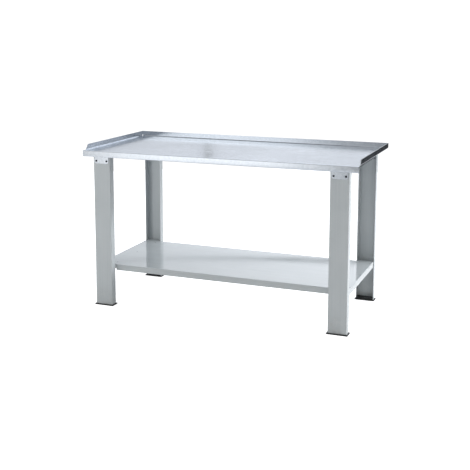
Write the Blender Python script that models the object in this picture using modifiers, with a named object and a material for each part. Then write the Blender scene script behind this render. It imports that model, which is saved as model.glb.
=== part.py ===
"""Sheet-steel potting bench: a galvanised worktop tray on four folded legs, with a painted shelf below.

Metres, +Z up. +X is the bench's right end, +Y its back. The origin is on the floor, under the bench's middle.
The tray is folded down at the front and up at the sides and back. Two galvanised cross beams lie under it,
and each beam's end tabs are screwed to a pair of legs. A rail between each pair of legs carries the shelf.
"""

import math

import bmesh
import bpy
from mathutils import Vector

# Worktop tray
LENGTH = 1.500
DEPTH = 0.700
TOP_Z = 0.852
UPSTAND = 0.028
LIP = 0.032
LIP_RETURN = 0.015
TRAY_T = 0.0015
HEM = 0.010
HEM_GAP = 0.0004
UPSTAND_SETBACK = 0.030  # the side upstands start this far behind the front edge
UPSTAND_SLOT = 0.003  # and this far behind the flat corner in front of them
UPSTAND_SLANT = 0.93  # how far a side upstand's front end leans back for each metre it rises

# Legs: folded C sections whose webs face out of the bench, to the front and to the back
FRAME_LENGTH = 1.402
FRAME_DEPTH = 0.644
LEG_W = 0.098
LEG_FLANGE = 0.040
LEG_T = 0.002
FOOT_T = 0.006
FOOT_PLUG = 0.008
FOOT_FIT = 0.001
FOOT_OVERHANG = 0.006

# Cross beams under the tray
BEAM_W = 0.091
BEAM_FLANGE = 0.040
BEAM_T = 0.0025
TAB_BOTTOM_Z = 0.782
TAB_CORNER = 0.012

# Shelf tray and the rails it lies on
SHELF_LENGTH = 1.396
SHELF_DEPTH = 0.559
SHELF_Z = 0.2235
SHELF_LIP = 0.033
SHELF_LIP_RETURN = 0.012
SHELF_T = 0.0012
SHELF_NOTCH = 0.005  # the front and back lips stop this far short of the legs
RAIL_W = 0.0885
RAIL_FLANGE = 0.024
RAIL_T = 0.002
RAIL_TAB = 0.022

# Stiffeners: hat sections under the sheets
HAT_CROWN = 0.040
HAT_BRIM = 0.016
HAT_T = 0.0012
TRAY_HAT_H = 0.024
TRAY_HAT_Y = 0.150
SHELF_HAT_H = 0.020

# Fasteners
SCREW_SPACING = 0.0615
TAB_SCREW_Z = 0.796
TRAY_SCREW_Y = 0.292
SHELF_SCREW_SPACING = 0.074
SHELF_SCREW_Y = (-0.235, 0.0, 0.235)
BUTTON_R = 0.0055
BUTTON_H = 0.0030
SINK_R = 0.0042  # a countersunk hole's radius at the sheet's face
SINK_SLOPE = 1.6  # how fast it narrows with depth
SHEET_SCREW_L = 0.012
SHEET_SHANK_R = 0.0016
PILOT_R = 0.0019
SHANK_R = 0.0028
HOLE_R = 0.0033
NUT_R = 0.0058
NUT_H = 0.0045

GAP = 0.0003  # left between pieces that touch
BEND_R = 0.0035
BEND_STEPS = 3
ROUND_SIDES = 12

# Worked out from the sizes above
TRAY_SIDE = LENGTH / 2 - TRAY_T
TRAY_FRONT = -DEPTH / 2
TRAY_BACK = DEPTH / 2 - TRAY_T
LEG_X = (FRAME_LENGTH - LEG_W) / 2
WEB_Y = FRAME_DEPTH / 2
BEAM_Z = TOP_Z - TRAY_T - GAP
LEG_TOP_Z = BEAM_Z - BEAM_T - 2 * GAP
RAIL_Z = SHELF_Z - SHELF_T - GAP
SIDES = (("left", -1), ("right", 1))
ENDS = (("front", -1), ("back", 1))

UP = Vector((0, 0, 1))

COLOURS = {
    "galvanised": ((0.62, 0.65, 0.70), 0.34, 1.0),
    "grey_paint": ((0.52, 0.54, 0.55), 0.38, 0.0),
    "black_plastic": ((0.02, 0.02, 0.022), 0.55, 0.0),
    "black_steel": ((0.03, 0.03, 0.032), 0.40, 1.0),
    "zinc": ((0.55, 0.56, 0.58), 0.40, 1.0),
}


def collection(name):
    made = bpy.data.collections.new(name)
    bpy.context.scene.collection.children.link(made)
    return made


def start():
    for obj in list(bpy.data.objects):
        bpy.data.objects.remove(obj, do_unlink=True)
    return collection("potting_bench"), collection("cutters")


def material(name):
    found = bpy.data.materials.get(name)
    if found:
        return found
    colour, roughness, metallic = COLOURS[name]
    made = bpy.data.materials.new(name)
    made.use_nodes = True
    shader = made.node_tree.nodes["Principled BSDF"]
    shader.inputs["Base Color"].default_value = (*colour, 1)
    shader.inputs["Roughness"].default_value = roughness
    shader.inputs["Metallic"].default_value = metallic
    made.diffuse_color = (*colour, 1)
    return made


def add_object(name, bm, finish, where):
    """Makes an object of a bmesh and frees the bmesh."""
    mesh = bpy.data.meshes.new(name)
    bm.to_mesh(mesh)
    bm.free()
    made = bpy.data.objects.new(name, mesh)
    where.objects.link(made)
    if finish:
        mesh.materials.append(material(finish))
    return made


def solidify(obj, thickness):
    """Gives an open sheet its thickness, on the side that its faces look away from."""
    wall = obj.modifiers.new("thickness", "SOLIDIFY")
    wall.thickness = thickness
    wall.offset = -1
    wall.use_even_offset = True
    wall.use_quality_normals = True
    wall.use_rim = True


def rounded(points, radius=BEND_R, steps=BEND_STEPS):
    """The path through 2D points with each inner corner rounded: the radius is cut down where a leg is short."""
    points = [Vector(p) for p in points]
    path = [points[0]]
    for before, corner, after in zip(points, points[1:], points[2:]):
        towards, away = (before - corner), (after - corner)
        half = towards.angle(away) / 2
        room_before = towards.length if before is points[0] else towards.length / 2
        room_after = away.length if after is points[-1] else away.length / 2
        reach = min(radius / math.tan(half), room_before, room_after)
        arc_r = reach * math.tan(half)
        bisector = (towards.normalized() + away.normalized()).normalized()
        centre = corner + bisector * (arc_r / math.sin(half))
        start_arm = corner + towards.normalized() * reach - centre
        end_arm = corner + away.normalized() * reach - centre
        sweep = start_arm.angle_signed(end_arm)
        for step in range(steps + 1):
            angle = -sweep * step / steps
            turned = Vector(
                (
                    start_arm.x * math.cos(angle) - start_arm.y * math.sin(angle),
                    start_arm.x * math.sin(angle) + start_arm.y * math.cos(angle),
                )
            )
            path.append(centre + turned)
    path.append(points[-1])
    return [path[0]] + [there for here, there in zip(path, path[1:]) if (there - here).length > GAP]


def flat_panel(bm, x_range, y_range, z, x_cuts=(), y_cuts=()):
    """A rectangle facing up, cut across where a fold starts or stops."""
    bmesh.ops.create_grid(bm, x_segments=1, y_segments=1, size=0.5)
    size = (x_range[1] - x_range[0], y_range[1] - y_range[0], 1)
    middle = ((x_range[0] + x_range[1]) / 2, (y_range[0] + y_range[1]) / 2, z)
    bmesh.ops.scale(bm, vec=size, verts=bm.verts)
    bmesh.ops.translate(bm, vec=middle, verts=bm.verts)
    cuts = [(x, (1, 0, 0)) for x in x_cuts] + [(y, (0, 1, 0)) for y in y_cuts]
    for at, normal in cuts:
        geometry = bm.verts[:] + bm.edges[:] + bm.faces[:]
        bmesh.ops.bisect_plane(bm, geom=geometry, plane_co=Vector(normal) * at, plane_no=normal)


def side_edges(bm, outward, at, span):
    """The open edges that lie on one side of the sheet, between two positions along that side."""
    outward = Vector(outward)
    along = outward.cross(UP)
    low, high = sorted((span[0] * sum(along), span[1] * sum(along)))
    found = []
    for edge in bm.edges:
        middle = (edge.verts[0].co + edge.verts[1].co) / 2
        on_side = all(abs(v.co.dot(outward) - at) < 1e-5 for v in edge.verts)
        if edge.is_boundary and on_side and low < middle.dot(along) < high:
            found.append(edge)
    return found


def fold(bm, edges, outward, path):
    """Draws edges out along a path of (outward, up) points."""
    outward = Vector(outward)
    for here, there in zip(path, path[1:]):
        step = outward * (there[0] - here[0]) + UP * (there[1] - here[1])
        drawn = bmesh.ops.extrude_edge_only(bm, edges=edges)["geom"]
        verts = [item for item in drawn if isinstance(item, bmesh.types.BMVert)]
        bmesh.ops.translate(bm, vec=step, verts=verts)
        edges = [item for item in drawn if isinstance(item, bmesh.types.BMEdge)
                 and all(vert in verts for vert in item.verts)]


def face_up(bm, point):
    """Turns every face the same way round, with the face nearest to a point looking up."""
    bmesh.ops.recalc_face_normals(bm, faces=bm.faces)
    bm.normal_update()
    nearest = min(bm.faces, key=lambda face: (face.calc_center_median() - Vector(point)).length)
    if nearest.normal.z < 0:
        bmesh.ops.reverse_faces(bm, faces=bm.faces)


def holes(target, name, places, axis, length, cutters, radius=HOLE_R, slope=0):
    """Drills round holes through a piece with one cutter. With a slope they widen along the axis."""
    bm = bmesh.new()
    for place in places:
        add_cylinder(bm, place, axis, radius, length, slope=slope)
    boolean(target, add_object(name, bm, None, cutters), "DIFFERENCE")


def boolean(target, tool, operation):
    """Cuts a tool shape out of a piece, or joins it on. The tool itself is hidden."""
    tool.hide_render = True
    tool.display_type = "WIRE"
    made = target.modifiers.new(tool.name, "BOOLEAN")
    made.operation = operation
    made.solver = "EXACT"
    made.object = tool


def add_cylinder(bm, place, axis, radius, length, sides=ROUND_SIDES, slope=0):
    """A cylinder, or a cone that has the radius at its middle and widens along its axis."""
    turn = UP.rotation_difference(Vector(axis)).to_matrix().to_4x4()
    turn.translation = place
    low, high = radius - slope * length / 2, radius + slope * length / 2
    bmesh.ops.create_cone(bm, cap_ends=True, segments=sides, radius1=low, radius2=high, depth=length, matrix=turn)


def screw_places(leg_x, y):
    """Two places across a leg, one screw spacing apart."""
    return [(leg_x + side * SCREW_SPACING / 2, y) for side in (-1, 1)]


def worktop_sheet(parts, cutters):
    """The tray: front lip folded down and under, sides and back folded up and hemmed inwards."""
    side, front, back = TRAY_SIDE - BEND_R, TRAY_FRONT + BEND_R, TRAY_BACK - BEND_R
    upstand_front, upstand_back = TRAY_FRONT + UPSTAND_SETBACK, back - GAP
    slot = upstand_front - UPSTAND_SLOT
    bm = bmesh.new()
    flat_panel(bm, (-side, side), (front, back), TOP_Z, y_cuts=(slot, upstand_front, upstand_back))
    for _, sign in SIDES:
        strip = side_edges(bm, (sign, 0, 0), side, (front, slot))
        fold(bm, strip, (sign, 0, 0), [(0, 0), (LENGTH / 2 - side, 0)])
    lip = [(0, 0), (BEND_R, 0), (BEND_R, -LIP), (BEND_R - LIP_RETURN, -LIP)]
    strip = side_edges(bm, (0, -1, 0), -front, (-LENGTH, LENGTH))
    fold(bm, strip, (0, -1, 0), rounded(lip))
    crest = UPSTAND - TRAY_T
    upstand = rounded([(0, 0), (BEND_R, 0), (BEND_R, BEND_R + TRAY_T)])
    upstand += [(BEND_R, crest - HEM - TRAY_T), (BEND_R, crest - HEM - GAP)]
    upstand += [(BEND_R, crest), (BEND_R - HEM_GAP, crest), (BEND_R - HEM_GAP, crest - HEM)]
    for _, sign in SIDES:
        strip = side_edges(bm, (sign, 0, 0), side, (upstand_front, upstand_back))
        fold(bm, strip, (sign, 0, 0), upstand)
    slant_front_ends(bm, upstand_front)
    close_back_corners(bm, upstand_back, TOP_Z + crest - HEM)
    strip = side_edges(bm, (0, 1, 0), back, (-side, side))
    fold(bm, strip, (0, 1, 0), upstand)
    widen_back_upstand(bm, side, back)
    face_up(bm, (0, 0, TOP_Z))
    tray = add_object("worktop_sheet", bm, "galvanised", parts)
    solidify(tray, TRAY_T)
    places = [(x, y, TOP_Z) for _, sign in SIDES for _, end in ENDS
              for x, y in screw_places(sign * LEG_X, end * TRAY_SCREW_Y)]
    holes(tray, "tray_drill", places, UP, 2 * TRAY_T + GAP, cutters, SINK_R, SINK_SLOPE)


def slant_front_ends(bm, upstand_front):
    """Leans the front ends of the side upstands back as they rise."""
    for vert in bm.verts:
        if vert.co.z > TOP_Z and abs(vert.co.y - upstand_front) < 1e-5:
            vert.co.y += UPSTAND_SLANT * (vert.co.z - TOP_Z)


def close_back_corners(bm, upstand_back, hem_low):
    """Carries the back ends of the side upstands on, above their bends, up to the back upstand and its hem."""
    for vert in bm.verts:
        if abs(vert.co.y - upstand_back) < 1e-5 and vert.co.z > TOP_Z + BEND_R + GAP:
            under_hem = vert.co.z < hem_low - 2 * GAP
            vert.co.y = TRAY_BACK - GAP - (0 if under_hem else HEM_GAP + TRAY_T)


def widen_back_upstand(bm, side, back):
    """Draws the back upstand's ends out over the back ends of the side upstands, above their bends."""
    for vert in bm.verts:
        at_end = vert.co.y > back + GAP and abs(abs(vert.co.x) - side) < 1e-5
        if at_end and vert.co.z > TOP_Z + BEND_R + GAP:
            vert.co.x = math.copysign(LENGTH / 2, vert.co.x)


def cross_beam(name, side, parts, cutters):
    """An inverted channel from front to back, with its ends folded down over the legs' faces."""
    half_w = BEAM_W / 2 - BEND_R
    tab_y = WEB_Y + GAP + BEAM_T
    half_d = tab_y - BEND_R
    flange_end = WEB_Y - LEG_T - 2 * BEND_R
    x = side * LEG_X
    bm = bmesh.new()
    flat_panel(bm, (x - half_w, x + half_w), (-half_d, half_d), BEAM_Z, y_cuts=(-flange_end, flange_end))
    wall = rounded([(0, 0), (BEND_R, 0), (BEND_R, -BEAM_FLANGE)])
    for sign in (-1, 1):
        strip = side_edges(bm, (sign, 0, 0), sign * x + half_w, (-flange_end, flange_end))
        fold(bm, strip, (sign, 0, 0), wall)
    tab = rounded([(0, 0), (BEND_R, 0), (BEND_R, TAB_BOTTOM_Z - BEAM_Z)])
    for sign in (-1, 1):
        strip = side_edges(bm, (0, sign, 0), half_d, (x - BEAM_W, x + BEAM_W))
        fold(bm, strip, (0, sign, 0), tab)
    corners = [v for v in bm.verts if abs(v.co.z - TAB_BOTTOM_Z) < 1e-5]
    bmesh.ops.bevel(bm, geom=corners, affect="VERTICES", offset=TAB_CORNER, segments=4, profile=0.5)
    face_up(bm, (x, 0, BEAM_Z))
    beam = add_object(name, bm, "galvanised", parts)
    solidify(beam, BEAM_T)
    web = [(sx, y, BEAM_Z) for _, end in ENDS for sx, y in screw_places(x, end * TRAY_SCREW_Y)]
    tabs = [(sx, y, TAB_SCREW_Z) for _, end in ENDS for sx, y in screw_places(x, end * tab_y)]
    holes(beam, name + "_web_drill", web, UP, 0.01, cutters, PILOT_R)
    holes(beam, name + "_tab_drill", tabs, (0, 1, 0), 0.01, cutters)


def bent_strip(name, path, place, length, axis, thickness, finish, parts):
    """A folded section drawn out along X or Z. The path is (across, up) for X, and (across, back) for Z."""
    bm = bmesh.new()
    if axis == "Z":
        verts = [bm.verts.new((p[0], p[1], 0)) for p in path]
        run = Vector((0, 0, length))
    else:
        verts = [bm.verts.new((-length / 2, p[0], p[1])) for p in path]
        run = Vector((length, 0, 0))
    edges = [bm.edges.new(pair) for pair in zip(verts, verts[1:])]
    drawn = bmesh.ops.extrude_edge_only(bm, edges=edges)["geom"]
    bmesh.ops.translate(bm, vec=run, verts=[v for v in drawn if isinstance(v, bmesh.types.BMVert)])
    bmesh.ops.recalc_face_normals(bm, faces=bm.faces)
    made = add_object(name, bm, finish, parts)
    made.location = place
    solidify(made, thickness)
    return made


def leg(name, side, end, parts, cutters):
    """A C section with its web facing out of the bench and its flanges towards the other leg of the pair."""
    half = LEG_W / 2
    outline = [(-half, LEG_FLANGE), (-half, 0), (half, 0), (half, LEG_FLANGE)]
    outline = [(x, -end * y) for x, y in outline]
    if end > 0:
        outline.reverse()
    path = rounded(outline)
    x = side * LEG_X
    height = LEG_TOP_Z - FOOT_T - GAP
    made = bent_strip(name, path, (x, end * WEB_Y, FOOT_T + GAP), height, "Z", LEG_T, "grey_paint", parts)
    turn_out(made, Vector((0, end, 0)))
    places = [(sx, y, TAB_SCREW_Z) for sx, y in screw_places(x, end * (WEB_Y - LEG_T / 2))]
    holes(made, name + "_drill", places, (0, 1, 0), 0.01, cutters)


def turn_out(obj, outward):
    """Makes the widest face of a sheet look outward, so that its thickness lies behind it."""
    widest = max(obj.data.polygons, key=lambda face: face.area)
    if widest.normal.dot(outward) < 0:
        obj.data.flip_normals()


def add_box(bm, low, high):
    made = bmesh.ops.create_cube(bm, size=1)["verts"]
    middle = [(a + b) / 2 for a, b in zip(low, high)]
    bmesh.ops.scale(bm, vec=[b - a for a, b in zip(low, high)], verts=made)
    bmesh.ops.translate(bm, vec=middle, verts=made)


def foot(name, side, end, parts, cutters):
    """A black plate under a leg, a little wider than the leg, with a plug that fits up inside the section."""
    half = LEG_W / 2
    bm = bmesh.new()
    low_y, high_y = sorted((end * (WEB_Y + FOOT_OVERHANG), end * (WEB_Y - LEG_FLANGE - FOOT_OVERHANG)))
    rim = half + FOOT_OVERHANG
    add_box(bm, (-rim, low_y, 0), (rim, high_y, FOOT_T))
    plate = add_object(name, bm, "black_plastic", parts)
    plug = bmesh.new()
    low_y, high_y = sorted((end * (WEB_Y - LEG_T - FOOT_FIT), end * (WEB_Y - LEG_FLANGE + FOOT_FIT)))
    wide = half - LEG_T - FOOT_FIT
    add_box(plug, (-wide, low_y, FOOT_T / 2), (wide, high_y, FOOT_T + FOOT_PLUG))
    joined = add_object(name + "_plug", plug, None, cutters)
    boolean(plate, joined, "UNION")
    soften = plate.modifiers.new("edges", "BEVEL")
    soften.width = 0.0010
    soften.segments = 2
    soften.limit_method = "ANGLE"
    plate.location.x = joined.location.x = side * LEG_X


def shelf_tray(parts, cutters):
    """A shallow tray upside down: every side folded down and under, with the corners notched for the legs."""
    side, back = SHELF_LENGTH / 2 - BEND_R, SHELF_DEPTH / 2 - BEND_R
    notch = LEG_X - LEG_W / 2 - SHELF_NOTCH
    bm = bmesh.new()
    flat_panel(bm, (-side, side), (-back, back), SHELF_Z, x_cuts=(-notch, notch))
    lip = [(0, 0), (BEND_R, 0), (BEND_R, -SHELF_LIP), (BEND_R - SHELF_LIP_RETURN, -SHELF_LIP)]
    lip = rounded(lip)
    for sign in (-1, 1):
        fold(bm, side_edges(bm, (0, sign, 0), back, (-notch, notch)), (0, sign, 0), lip)
        fold(bm, side_edges(bm, (sign, 0, 0), side, (-back, back)), (sign, 0, 0), lip)
    face_up(bm, (0, 0, SHELF_Z))
    shelf = add_object("shelf_tray", bm, "grey_paint", parts)
    solidify(shelf, SHELF_T)
    places = shelf_screw_places(SHELF_Z)
    holes(shelf, "shelf_drill", places, UP, 2 * SHELF_T + GAP, cutters, SINK_R, SINK_SLOPE)


def shelf_screw_places(z, sides=(-1, 1)):
    return [(side * LEG_X + across * SHELF_SCREW_SPACING / 2, y, z)
            for side in sides for across in (-1, 1) for y in SHELF_SCREW_Y]


def shelf_rail(name, side, parts, cutters):
    """An inverted channel between a pair of legs: its end tabs are welded inside their webs."""
    half_w = RAIL_W / 2 - BEND_R
    half_d = WEB_Y - LEG_T - GAP - BEND_R
    flange_end = half_d - BEND_R
    x = side * LEG_X
    bm = bmesh.new()
    flat_panel(bm, (x - half_w, x + half_w), (-half_d, half_d), RAIL_Z, y_cuts=(-flange_end, flange_end))
    wall = rounded([(0, 0), (BEND_R, 0), (BEND_R, -RAIL_FLANGE)])
    tab = rounded([(0, 0), (BEND_R, 0), (BEND_R, -RAIL_TAB)])
    for sign in (-1, 1):
        strip = side_edges(bm, (sign, 0, 0), sign * x + half_w, (-flange_end, flange_end))
        fold(bm, strip, (sign, 0, 0), wall)
        strip = side_edges(bm, (0, sign, 0), half_d, (x - RAIL_W, x + RAIL_W))
        fold(bm, strip, (0, sign, 0), tab)
    face_up(bm, (x, 0, RAIL_Z))
    rail = add_object(name, bm, "grey_paint", parts)
    solidify(rail, RAIL_T)
    holes(rail, name + "_drill", shelf_screw_places(RAIL_Z, (side,)), UP, 0.01, cutters, PILOT_R)


def stiffener(name, y, under_z, height, length, finish, parts):
    """A hat section along the bench, its brims against the sheet above."""
    crown, brim = HAT_CROWN / 2, HAT_CROWN / 2 + HAT_BRIM
    outline = [(-brim, 0), (-crown, 0), (-crown, -height), (crown, -height), (crown, 0), (brim, 0)]
    path = rounded(outline)
    made = bent_strip(name, path, (0, y, under_z - GAP), length, "X", HAT_T, finish, parts)
    brim_face = max(made.data.polygons, key=lambda face: face.center.z)
    if brim_face.normal.z < 0:
        made.data.flip_normals()


def button_head(shank):
    """The outline of a screw with a low round head, from its top to its tip, round the Z axis."""
    return [(0, BUTTON_H), (BUTTON_R * 0.55, BUTTON_H), (BUTTON_R * 0.9, BUTTON_H * 0.6), (BUTTON_R, 0),
            (SHANK_R, 0), (SHANK_R, -shank), (0, -shank)]


def sunk_head(shank):
    """The outline of a screw whose head lies just under the face of its countersunk hole."""
    rim = SINK_R - 2 * GAP
    depth = GAP / 2 + (rim - SHEET_SHANK_R) / SINK_SLOPE
    return [(0, -GAP / 2), (rim, -GAP / 2), (SHEET_SHANK_R, -depth), (SHEET_SHANK_R, -shank), (0, -shank)]


def screw(name, outline, place, outward, finish, parts):
    """A screw turned from an outline that has the face it sits on at height 0: outward points from there."""
    bm = bmesh.new()
    verts = [bm.verts.new((x, 0, z)) for x, z in outline]
    for pair in zip(verts, verts[1:]):
        bm.edges.new(pair)
    made = add_object(name, bm, finish, parts)
    turned = made.modifiers.new("turned", "SCREW")
    turned.steps = turned.render_steps = ROUND_SIDES
    turned.use_merge_vertices = True
    turned.merge_threshold = 0.00001
    made.rotation_mode = "QUATERNION"
    made.rotation_quaternion = UP.rotation_difference(Vector(outward))
    made.location = place


def nut(name, place, inward, parts, cutters):
    """A hex nut against the inside of a leg's web, round the screw's shank."""
    bm = bmesh.new()
    middle = Vector(place) + Vector(inward) * (NUT_H / 2 + GAP)
    add_cylinder(bm, middle, inward, NUT_R, NUT_H, sides=6)
    made = add_object(name, bm, "zinc", parts)
    holes(made, name + "_bore", [middle], inward, NUT_H * 2, cutters, SHANK_R + GAP)


def tab_fasteners(parts, cutters):
    """The screws through each beam tab and leg, and the nuts inside the legs."""
    outline = button_head(BEAM_T + 2 * GAP + LEG_T + NUT_H + 0.002)
    for side_name, side in SIDES:
        for end_name, end in ENDS:
            y = end * (WEB_Y + 2 * GAP + BEAM_T)
            for number, (x, _) in enumerate(screw_places(side * LEG_X, y), start=1):
                label = f"{end_name}_{side_name}_{number}"
                place = (x, y, TAB_SCREW_Z)
                screw("tab_screw_" + label, outline, place, (0, end, 0), "black_steel", parts)
                inside = (x, end * (WEB_Y - LEG_T), TAB_SCREW_Z)
                nut("tab_nut_" + label, inside, (0, -end, 0), parts, cutters)


def sheet_screws(parts):
    """The countersunk screws down through the worktop into the beams, and through the shelf into its rails."""
    outline = sunk_head(SHEET_SCREW_L)
    tray = [(x, y, TOP_Z) for _, side in SIDES for _, end in ENDS
            for x, y in screw_places(side * LEG_X, end * TRAY_SCREW_Y)]
    for name, places in (("worktop_screw_", tray), ("shelf_screw_", shelf_screw_places(SHELF_Z))):
        for number, place in enumerate(places, start=1):
            screw(f"{name}{number:02d}", outline, place, UP, "black_steel", parts)


def main():
    parts, cutters = start()
    worktop_sheet(parts, cutters)
    for name, y in (("front", -TRAY_HAT_Y), ("back", TRAY_HAT_Y)):
        length = 2 * (LEG_X - BEAM_W / 2) - 0.012
        stiffener(f"worktop_stiffener_{name}", y, TOP_Z - TRAY_T, TRAY_HAT_H, length, "galvanised", parts)
    for side_name, side in SIDES:
        cross_beam(f"cross_beam_{side_name}", side, parts, cutters)
        shelf_rail(f"shelf_rail_{side_name}", side, parts, cutters)
        for end_name, end in ENDS:
            leg(f"leg_{end_name}_{side_name}", side, end, parts, cutters)
            foot(f"foot_{end_name}_{side_name}", side, end, parts, cutters)
    shelf_tray(parts, cutters)
    length = 2 * (LEG_X - RAIL_W / 2) - 0.012
    stiffener("shelf_stiffener", 0, SHELF_Z - SHELF_T, SHELF_HAT_H, length, "grey_paint", parts)
    tab_fasteners(parts, cutters)
    sheet_screws(parts)


main()
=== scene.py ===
import math

import bmesh
import bpy
from mathutils import Matrix, Vector


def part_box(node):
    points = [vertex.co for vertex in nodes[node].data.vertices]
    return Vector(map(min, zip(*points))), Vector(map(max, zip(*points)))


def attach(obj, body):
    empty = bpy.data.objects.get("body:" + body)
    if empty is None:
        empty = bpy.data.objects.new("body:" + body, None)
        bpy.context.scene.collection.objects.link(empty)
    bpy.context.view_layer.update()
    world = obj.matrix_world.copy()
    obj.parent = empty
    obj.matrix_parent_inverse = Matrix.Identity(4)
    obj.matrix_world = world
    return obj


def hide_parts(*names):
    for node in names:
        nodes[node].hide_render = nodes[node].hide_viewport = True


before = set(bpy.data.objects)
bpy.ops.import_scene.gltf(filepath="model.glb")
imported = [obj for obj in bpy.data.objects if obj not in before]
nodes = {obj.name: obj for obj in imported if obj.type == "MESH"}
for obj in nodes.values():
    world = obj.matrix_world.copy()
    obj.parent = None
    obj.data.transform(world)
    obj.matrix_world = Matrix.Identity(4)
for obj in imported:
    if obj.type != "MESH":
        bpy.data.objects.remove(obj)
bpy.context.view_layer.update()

# ---------------------------------------------------------------- camera
CAM_AT = (1.685, -4.405, 1.513)
CAM_YAW, CAM_PITCH, CAM_ROLL = 0.368, 0.146, 0.002
CAM_LENS = 67.53
CAM_SHIFT = -0.17
SENSOR = 36.0


def add_camera():
    data = bpy.data.cameras.new("camera")
    data.sensor_width, data.lens, data.shift_y = SENSOR, CAM_LENS, CAM_SHIFT
    camera = bpy.data.objects.new("camera", data)
    bpy.context.scene.collection.objects.link(camera)
    bpy.context.scene.camera = camera
    level = Vector((math.cos(CAM_YAW), math.sin(CAM_YAW), 0))
    ahead = Vector((-math.sin(CAM_YAW) * math.cos(CAM_PITCH), math.cos(CAM_YAW) * math.cos(CAM_PITCH),
                    -math.sin(CAM_PITCH)))
    right = level * math.cos(CAM_ROLL) + level.cross(ahead) * math.sin(CAM_ROLL)
    placed = Matrix((right, right.cross(ahead), -ahead)).transposed().to_4x4()
    placed.translation = CAM_AT
    camera.matrix_world = placed


# ---------------------------------------------------------------- nodes
def put(tree, kind, wires=None, **settings):
    """A new node. wires holds its inputs: a socket is joined, anything else is the value."""
    made = tree.nodes.new(kind)
    for key, value in settings.items():
        setattr(made, key, value)
    for key, value in (wires or {}).items():
        if isinstance(value, bpy.types.NodeSocket):
            tree.links.new(value, made.inputs[key])
        else:
            made.inputs[key].default_value = value
    return made


def maths(tree, operation, a, b=0.0):
    return put(tree, "ShaderNodeMath", {0: a, 1: b}, operation=operation).outputs[0]


def noise(tree, coords, scale, detail=2.0, roughness=0.5):
    return put(tree, "ShaderNodeTexNoise",
               {"Vector": coords, "Scale": scale, "Detail": detail, "Roughness": roughness}).outputs["Fac"]


def stretched(tree, coords, factors):
    return put(tree, "ShaderNodeVectorMath", {0: coords, 1: factors}, operation="MULTIPLY").outputs[0]


def ranged(tree, value, low, high, to_low=0.0, to_high=1.0, smooth=False):
    return put(tree, "ShaderNodeMapRange", {"Value": value, "From Min": low, "From Max": high,
                                            "To Min": to_low, "To Max": to_high},
               interpolation_type="SMOOTHSTEP" if smooth else "LINEAR").outputs["Result"]


def blended(tree, factor, a, b):
    """Colour a where factor is 0, colour b where it is 1."""
    made = put(tree, "ShaderNodeMix", {0: factor}, data_type="RGBA")
    for slot, colour in ((6, a), (7, b)):
        if isinstance(colour, bpy.types.NodeSocket):
            tree.links.new(colour, made.inputs[slot])
        else:
            made.inputs[slot].default_value = (*colour, 1)
    return made.outputs[2]


def weighted(tree, pairs):
    """The sum of the values, each times its weight."""
    total = None
    for value, weight in pairs:
        part = maths(tree, "MULTIPLY", value, weight)
        total = part if total is None else maths(tree, "ADD", total, part)
    return total


def bumped(tree, height, distance, under=None):
    wires = {"Height": height, "Distance": distance, "Strength": 1.0}
    if under is not None:
        wires["Normal"] = under
    return put(tree, "ShaderNodeBump", wires).outputs[0]


def start(name, metallic=0.0, **settings):
    made = bpy.data.materials.new(name)
    made.use_nodes = True
    tree = made.node_tree
    shader = tree.nodes["Principled BSDF"]
    shader.inputs["Metallic"].default_value = metallic
    for key, value in settings.items():
        shader.inputs[key.replace("_", " ")].default_value = value
    coords = put(tree, "ShaderNodeTexCoord").outputs["Object"]
    return made, tree, shader, coords


# ---------------------------------------------------------------- materials
ZINC_DARK, ZINC_LIGHT, ZINC_SCUFF = (0.608, 0.66, 0.725), (0.757, 0.805, 0.870), (0.86, 0.88, 0.90)
PAINT_DARK, PAINT_LIGHT = (0.460, 0.497, 0.512), (0.510, 0.545, 0.560)
DUST, DUST_HEIGHT = (0.30, 0.285, 0.26), 0.11
PLASTIC_BLACK, PLASTIC_DUSTY = (0.018, 0.019, 0.021), (0.10, 0.10, 0.10)


def zinc_sheet(name, grain, crossed):
    """Galvanised sheet: small crystals, rolling lines, handling marks and a slight waviness."""
    made, tree, shader, coords = start(name, metallic=1.0)
    crystals = put(tree, "ShaderNodeTexVoronoi", {"Vector": coords, "Scale": 120.0})
    crystal = put(tree, "ShaderNodeSeparateColor", {0: crystals.outputs["Color"]}).outputs[0]
    lines = noise(tree, stretched(tree, coords, grain), 1.0, 3.0)
    clouds = noise(tree, coords, 3.1, 4.0, 0.6)
    marks = noise(tree, stretched(tree, coords, crossed), 1.0, 4.0, 0.65)
    scuffs = ranged(tree, marks, 0.63, 0.72)
    tone = weighted(tree, ((crystal, 0.22), (lines, 0.34), (clouds, 0.44)))
    colour = blended(tree, ranged(tree, tone, 0.30, 0.70), ZINC_DARK, ZINC_LIGHT)
    tree.links.new(blended(tree, maths(tree, "MULTIPLY", scuffs, 0.25), colour, ZINC_SCUFF),
                   shader.inputs["Base Color"])
    rough = weighted(tree, ((clouds, 0.10), (lines, 0.06), (crystal, 0.04), (scuffs, 0.10)))
    tree.links.new(maths(tree, "ADD", rough, 0.035), shader.inputs["Roughness"])
    waves = bumped(tree, noise(tree, coords, 2.6, 1.0), 0.0010)
    dents = bumped(tree, noise(tree, coords, 13.0, 1.0), 0.00006, waves)
    tree.links.new(bumped(tree, lines, 0.0000035, dents), shader.inputs["Normal"])
    return made


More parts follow.
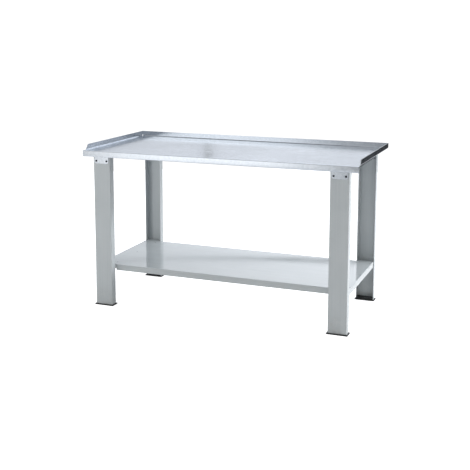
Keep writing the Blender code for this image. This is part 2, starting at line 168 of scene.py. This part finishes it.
def grey_paint(name, rough, along, peeled=1.0):
    """Baked powder paint: fine orange peel, faint shade changes and a little dust near the floor."""
    made, tree, shader, coords = start(name, IOR=1.5)
    clouds = noise(tree, coords, 5.0, 4.0, 0.6)
    streaks = noise(tree, stretched(tree, coords, along), 1.0, 3.0)
    tone = weighted(tree, ((clouds, 0.5), (streaks, 0.5)))
    colour = blended(tree, ranged(tree, tone, 0.34, 0.66), PAINT_DARK, PAINT_LIGHT)
    height = put(tree, "ShaderNodeSeparateXYZ", {0: coords}).outputs[2]
    low = ranged(tree, height, 0.0, DUST_HEIGHT, 1.0, 0.0)
    dust = maths(tree, "MULTIPLY", low, ranged(tree, noise(tree, coords, 42.0, 5.0, 0.7), 0.42, 0.70))
    tree.links.new(blended(tree, maths(tree, "MULTIPLY", dust, 0.45), colour, DUST),
                   shader.inputs["Base Color"])
    gloss = weighted(tree, ((clouds, 0.06), (dust, 0.25)))
    tree.links.new(maths(tree, "ADD", gloss, rough - 0.03), shader.inputs["Roughness"])
    peel = bumped(tree, noise(tree, coords, 520.0, 2.0), 0.000002 * peeled)
    waves = bumped(tree, noise(tree, coords, 4.0, 1.0), 0.0002 * peeled, peel)
    tree.links.new(waves, shader.inputs["Normal"])
    return made


def black_plastic():
    made, tree, shader, coords = start("black_plastic", IOR=1.46)
    grain = noise(tree, coords, 900.0, 2.0)
    dust = ranged(tree, noise(tree, coords, 60.0, 5.0, 0.7), 0.45, 0.75)
    dusted = blended(tree, maths(tree, "MULTIPLY", dust, 0.35), PLASTIC_BLACK, PLASTIC_DUSTY)
    tree.links.new(dusted, shader.inputs["Base Color"])
    tree.links.new(weighted(tree, ((grain, 0.2), (dust, 0.2), (1.0, 0.38))), shader.inputs["Roughness"])
    tree.links.new(bumped(tree, grain, 0.00002), shader.inputs["Normal"])
    return made


def screw_metal(name, dark, light, rough):
    """Plated steel of a screw or nut, with a mottled finish."""
    made, tree, shader, coords = start(name, metallic=1.0)
    mottle = noise(tree, coords, 700.0, 4.0, 0.6)
    turned = noise(tree, stretched(tree, coords, (300.0, 300.0, 3000.0)), 1.0, 2.0)
    tree.links.new(blended(tree, ranged(tree, mottle, 0.35, 0.65), dark, light), shader.inputs["Base Color"])
    gloss = weighted(tree, ((mottle, 0.2), (turned, 0.1), (1.0, rough - 0.15)))
    tree.links.new(gloss, shader.inputs["Roughness"])
    tree.links.new(bumped(tree, mottle, 0.00001), shader.inputs["Normal"])
    return made


ALONG_X, ALONG_Y = (5.0, 420.0, 420.0), (420.0, 5.0, 420.0)
SHEET_X = zinc_sheet("galvanised_sheet", ALONG_X, (60.0, 14.0, 30.0))
SHEET_Y = zinc_sheet("galvanised_beam", ALONG_Y, (20.0, 50.0, 30.0))
PAINT_LEG = grey_paint("grey_paint_upright", 0.24, (260.0, 260.0, 2.0))
PAINT_SHELF = grey_paint("grey_paint_shelf", 0.035, (3.0, 120.0, 120.0), peeled=0.2)
PLASTIC = black_plastic()
BLACK_STEEL = screw_metal("black_steel", (0.020, 0.022, 0.028), (0.05, 0.054, 0.065), 0.38)
ZINC = screw_metal("zinc", (0.50, 0.53, 0.58), (0.66, 0.69, 0.73), 0.34)
# Painted shade: the worktop and shelf screws get this near-black colour so that they read as dark dots,
# standing in for the shade in their recesses and round their heads.
SHADE_DARKENED_STEEL = screw_metal("shade_darkened_steel", (0.016, 0.017, 0.020), (0.040, 0.042, 0.048), 0.55)

FINISHES = {
    "cross_beam": SHEET_Y, "worktop": SHEET_X, "leg": PAINT_LEG, "shelf": PAINT_SHELF, "foot": PLASTIC,
    "tab_screw": BLACK_STEEL, "tab_nut": ZINC, "worktop_screw": SHADE_DARKENED_STEEL, "shelf_screw": SHADE_DARKENED_STEEL,
}


def finish_of(name):
    return FINISHES[max((key for key in FINISHES if name.startswith(key)), key=len)]


def smooth_bends():
    """A modifier's node group: shades everything smooth but the edges that are really corners."""
    group = bpy.data.node_groups.new("smooth_bends", "GeometryNodeTree")
    for way in ("INPUT", "OUTPUT"):
        group.interface.new_socket("Geometry", in_out=way, socket_type="NodeSocketGeometry")
    came = put(group, "NodeGroupInput").outputs[0]
    angle = put(group, "GeometryNodeInputMeshEdgeAngle").outputs[0]
    corner = put(group, "FunctionNodeCompare", {"A": angle, "B": math.radians(42)}, operation="GREATER_THAN")
    soft = put(group, "GeometryNodeSetShadeSmooth", {"Geometry": came, "Shade Smooth": True}, domain="FACE")
    sharp = put(group, "GeometryNodeSetShadeSmooth",
                {"Geometry": soft.outputs[0], "Selection": corner.outputs[0], "Shade Smooth": False},
                domain="EDGE")
    put(group, "NodeGroupOutput", {0: sharp.outputs[0]})
    return group


SMOOTH = smooth_bends()
SHEET_EDGE, FOOT_EDGE = 0.0003, 0.0008  # widths of the bevels on cut edges


def dress(obj, width):
    """Rounds a sheet-metal node's cut edges and smooths its bends, with modifiers only."""
    weld = obj.modifiers.new("weld", "WELD")
    weld.merge_threshold = 0.000005
    faces = obj.modifiers.new("faces", "DECIMATE")
    faces.decimate_type, faces.angle_limit = "DISSOLVE", math.radians(0.5)
    edges = obj.modifiers.new("edges", "BEVEL")
    edges.width, edges.segments, edges.limit_method, edges.angle_limit = width, 2, "ANGLE", math.radians(60)
    obj.modifiers.new("smooth", "NODES").node_group = SMOOTH
    normals = obj.modifiers.new("normals", "WEIGHTED_NORMAL")
    normals.keep_sharp = True


for name, obj in nodes.items():
    obj.data.materials.clear()
    obj.data.materials.append(finish_of(name))
    if not name.startswith(("tab_", "worktop_screw", "shelf_screw")):
        dress(obj, FOOT_EDGE if name.startswith("foot") else SHEET_EDGE)

# ---------------------------------------------------------------- fasteners
MM = 0.001
HEAD_HEIGHT = 3.0 * MM  # of the tab screws' button heads
SEAT_GAP = 0.00015  # a countersunk head lies this far below the sheet's face


def hexagon(inner):
    """Radius of a hexagon with this inner radius, for an angle."""
    return lambda angle: inner / math.cos(angle % (math.pi / 3) - math.pi / 6)


def rounded_hexagon(inner, outer):
    return lambda angle: min(hexagon(inner)(angle), outer)


def cross(arm, half_width):
    """Radius of a cross-shaped recess, for an angle."""
    def radius(angle):
        off = abs((angle + math.pi / 4) % (math.pi / 2) - math.pi / 4)
        return min(arm, half_width / max(math.sin(off), 0.001))
    return radius


def lofted(name, rings, sides, closed=False):
    """A mesh through rings round the Z axis: (radius or radius for an angle, height), in millimetres."""
    bm = bmesh.new()
    loops = []
    for radius, height in rings:
        if radius == 0:
            loops.append([bm.verts.new((0, 0, height * MM))])
            continue
        loop = []
        for k in range(sides):
            angle = math.tau * k / sides
            r = (radius(angle) if callable(radius) else radius) * MM
            loop.append(bm.verts.new((r * math.cos(angle), r * math.sin(angle), height * MM)))
        loops.append(loop)
    for a, b in zip(loops, loops[1:] + loops[:1] if closed else loops[1:]):
        for k in range(sides):
            j = (k + 1) % sides
            if len(a) == 1:
                bm.faces.new((a[0], b[k], b[j]))
            elif len(b) == 1:
                bm.faces.new((a[k], b[0], a[j]))
            else:
                bm.faces.new((a[k], b[k], b[j], a[j]))
    bmesh.ops.recalc_face_normals(bm, faces=bm.faces)
    mesh = bpy.data.meshes.new(name)
    bm.to_mesh(mesh)
    bm.free()
    return mesh


def thread(outer, inner, start_z, end_z, pitch):
    """Rings of a screw thread from start_z down to end_z."""
    rings, z = [(outer, start_z)], start_z
    while z - pitch > end_z:
        rings += [(outer, z - 0.35 * pitch), (inner, z - 0.6 * pitch), (outer, z - 0.9 * pitch)]
        z -= pitch
    return rings


def button_screw_mesh():
    """A low round head with a hex socket, seated at height 0, on a 5.6 mm shank."""
    socket = [(0, 1.15), (hexagon(1.25), 1.25), (hexagon(1.95), 1.5), (hexagon(1.98), 2.85),
              (hexagon(2.1), 2.97)]
    dome = [(3.0, 3.0), (3.7, 2.93), (4.4, 2.62), (4.95, 2.15), (5.3, 1.5), (5.47, 0.8), (5.48, 0.2),
            (5.36, 0.02), (2.9, 0.02)]
    end = [(2.3, -11.55), (0, -11.55)]
    return lofted("button_screw", socket + dome + thread(2.79, 2.45, -0.4, -10.9, 1.0) + end, 36)


def sheet_screw_mesh():
    """A countersunk head with a cross recess, just under height 0, on a pointed thread."""
    head = [(0, -1.30), (cross(0.55, 0.22), -1.2), (cross(1.50, 0.40), -0.35), (cross(1.62, 0.46), -0.17),
            (3.45, -0.15), (3.58, -0.20), (3.58, -0.26), (1.60, -1.50)]
    tip = [(1.3, -10.4), (0.7, -11.3), (0, -11.95)]
    return lofted("sheet_screw", head + thread(1.59, 1.12, -1.8, -10.0, 1.3) + tip, 40)


def nut_mesh():
    """A hex nut with turned corners, its near face at height 0."""
    turned, flats = rounded_hexagon(4.99, 5.0), rounded_hexagon(4.99, 5.77)
    outline = [(3.15, 0.02), (4.6, 0.02), (turned, 0.05), (flats, 0.5), (flats, 4.0), (turned, 4.45),
               (4.6, 4.48), (3.35, 4.48), (3.12, 4.2), (3.12, 0.3)]
    return lofted("hex_nut", outline, 48, closed=True)


def fit(name, mesh, at, outward):
    """Puts a fastener where the CAD node of that name is, in its place."""
    piece = bpy.data.objects.new(name + "_detail", mesh)
    bpy.context.scene.collection.objects.link(piece)
    piece.rotation_mode = "QUATERNION"
    piece.rotation_quaternion = Vector((0, 0, 1)).rotation_difference(Vector(outward))
    piece.location = at
    piece.modifiers.new("smooth", "NODES").node_group = SMOOTH
    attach(piece, "root")
    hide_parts(name)


def add_fasteners():
    button, sheet, hex_nut = button_screw_mesh(), sheet_screw_mesh(), nut_mesh()
    for mesh, finish in ((button, BLACK_STEEL), (sheet, SHADE_DARKENED_STEEL), (hex_nut, ZINC)):
        mesh.materials.append(finish)
    for name in nodes:
        low, high = (Vector(corner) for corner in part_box(name))
        middle = (low + high) / 2
        side = 1 if middle.y > 0 else -1
        if name.startswith("tab_screw"):
            seat = max(abs(low.y), abs(high.y)) - HEAD_HEIGHT
            fit(name, button, (middle.x, side * seat, middle.z), (0, side, 0))
        elif name.startswith("tab_nut"):
            near = max(abs(low.y), abs(high.y))
            fit(name, hex_nut, (middle.x, side * near, middle.z), (0, -side, 0))
        elif name.startswith(("worktop_screw", "shelf_screw")):
            fit(name, sheet, (middle.x, middle.y, high.z + SEAT_GAP), (0, 0, 1))


add_fasteners()

# ---------------------------------------------------------------- stage and light
FLOOR_R, FLOOR_GREY, FLOOR_GLOW = 4.6, 0.85, 0.80  # the glow is only for the camera, so that it sees white
# The studio as the metal sees it: an even dome, changed by a few soft-edged panels and one thin stand.
# Bearings are degrees clockwise from +Y, elevations are degrees above the horizon.
DOME = 0.5
# name: (bearing, half width, softness of the sides, lowest and highest elevation, brightness added)
PANELS = {
    "back_wall": (35, 62, 16, 11, 24, 1.3),
    "back_ceiling": (0, 70, 8, 24, 90, 0.6),
    "back_low_glow": (-22, 9, 8, 0, 11, 0.2),
    "back_low_shade": (15, 22, 8, 0, 11, -0.15),
    "front_left_window": (-157, 7, 3, -40, 11, 0.9),
    "camera_side_shade": (-176, 7, 3, -90, 11, -0.35),
    "left_curtain": (-105, 35, 8, 0, 11, -0.35),
    "right_floor_shade": (90, 92, 8, -90, 0, -0.45),
}
ELEVATION_EDGE = 2
# The thin stand: (bearing, half width), (elevation, half height) and how dark.
POST_BEARING, POST_ELEVATION, POST_DEPTH = (-22.85, 0.5), (9.5, 2.2), 1.0
# Its rail runs at one elevation, and gets darker from one bearing to the other.
RAIL_ELEVATION, RAIL_BEARINGS, RAIL_FADE, RAIL_DEPTH = (15.05, 0.28), (-26, -15), (0.3, 1.0), 0.95
PAPER = 1.1  # the background that the camera sees
FRONT_TINT, BACK_TINT = (1.01, 1.0, 0.985), (0.98, 1.01, 1.065)
TINT_REACH = 0.3  # the tint changes between these depths of a direction, front and back


def sine(degrees):
    return math.sin(math.radians(degrees))


def window(tree, value, centre, half):
    """1 where value is centre, falling to 0 at half on each side."""
    off = maths(tree, "ABSOLUTE", maths(tree, "SUBTRACT", value, centre))
    return ranged(tree, off, 0.0, half, 1.0, 0.0, smooth=True)


def band(tree, value, low, high, edge):
    """1 where value is between low and high, with soft edges. All in degrees, value in radians."""
    middle, half, soft = (math.radians(n) for n in ((low + high) / 2, (high - low) / 2, edge))
    off = maths(tree, "ABSOLUTE", maths(tree, "SUBTRACT", value, middle))
    return ranged(tree, off, half - soft, half + soft, 1.0, 0.0, smooth=True)


def add_world():
    world = bpy.data.worlds.new("studio")
    bpy.context.scene.world = world
    world.use_nodes = True
    tree = world.node_tree
    tree.nodes.clear()
    way = put(tree, "ShaderNodeTexCoord").outputs["Generated"]
    x, y, z = put(tree, "ShaderNodeSeparateXYZ", {0: way}).outputs
    angle = maths(tree, "ARCTAN2", x, y)
    height = maths(tree, "ARCSINE", z)
    level = DOME
    for bearing, half, soft, low, high, change in PANELS.values():
        across = band(tree, angle, bearing - half, bearing + half, soft)
        up = band(tree, height, low, high, ELEVATION_EDGE)
        panel = maths(tree, "MULTIPLY", across, up)
        level = maths(tree, "ADD", level, maths(tree, "MULTIPLY", panel, change))
    post = maths(tree, "MULTIPLY", window(tree, angle, *map(math.radians, POST_BEARING)),
                 window(tree, z, *map(sine, POST_ELEVATION)))
    fade = ranged(tree, angle, *map(math.radians, RAIL_BEARINGS), *RAIL_FADE)
    rail = maths(tree, "MULTIPLY", window(tree, z, *map(sine, RAIL_ELEVATION)), fade)
    for dark, depth in ((post, POST_DEPTH), (rail, RAIL_DEPTH)):
        left = maths(tree, "SUBTRACT", 1.0, maths(tree, "MULTIPLY", dark, depth))
        level = maths(tree, "MULTIPLY", level, left)
    tint = blended(tree, ranged(tree, y, -TINT_REACH, TINT_REACH), FRONT_TINT, BACK_TINT)
    studio = put(tree, "ShaderNodeBackground", {0: tint, 1: level})
    paper = put(tree, "ShaderNodeBackground", {0: (1, 1, 1, 1), 1: PAPER})
    seen = put(tree, "ShaderNodeLightPath").outputs["Is Camera Ray"]
    both = put(tree, "ShaderNodeMixShader", {0: seen, 1: studio.outputs[0], 2: paper.outputs[0]})
    put(tree, "ShaderNodeOutputWorld", {0: both.outputs[0]})


def add_floor():
    bpy.ops.mesh.primitive_circle_add(vertices=96, radius=FLOOR_R, fill_type="NGON")
    floor = bpy.context.object
    floor.name = "floor"
    made, tree, shader, coords = start("paper_floor")
    shader.inputs["Base Color"].default_value = (FLOOR_GREY, FLOOR_GREY, FLOOR_GREY, 1)
    shader.inputs["Roughness"].default_value = 0.9
    glow = put(tree, "ShaderNodeEmission", {0: (1, 1, 1, 1), 1: FLOOR_GLOW})
    lit = put(tree, "ShaderNodeAddShader", {0: shader.outputs[0], 1: glow.outputs[0]})
    seen = put(tree, "ShaderNodeLightPath").outputs["Is Camera Ray"]
    both = put(tree, "ShaderNodeMixShader", {0: seen, 1: shader.outputs[0], 2: lit.outputs[0]})
    tree.links.new(both.outputs[0], tree.nodes["Material Output"].inputs[0])
    floor.data.materials.append(made)


def softbox(name, at, look, power, height=1.0):
    data = bpy.data.lights.new(name, "AREA")
    data.shape, data.size, data.size_y, data.energy = "RECTANGLE", 1.0, height, power
    lamp = bpy.data.objects.new(name, data)
    bpy.context.scene.collection.objects.link(lamp)
    lamp.location = at
    lamp.rotation_mode = "QUATERNION"
    lamp.rotation_quaternion = (Vector(at) - Vector(look)).to_track_quat("Z", "Y")
    lamp.visible_camera = lamp.visible_glossy = False


add_camera()
add_world()
add_floor()
LEFT_LEG = (-0.6, -0.3, 0.4)
BENCH = (-0.4, 0.0, 0.4)
KEYS, KEY_START, KEY_STEP, KEY_POWER = 4, -0.5, 0.9, 41
for place in range(KEYS):
    softbox(f"key_{place}", (4.6, KEY_START + KEY_STEP * place, 1.8), BENCH, KEY_POWER, height=0.5)
softbox("fill_left", (-3.4, -1.4, 1.5), BENCH, 9)
softbox("fill_front", (-2.6, -2.4, 1.5), LEFT_LEG, 18)
softbox("fill_low", (-1.6, -3.4, 1.2), LEFT_LEG, 3)

scene = bpy.context.scene
scene.view_settings.view_transform = "Standard"
scene.view_settings.look = "None"
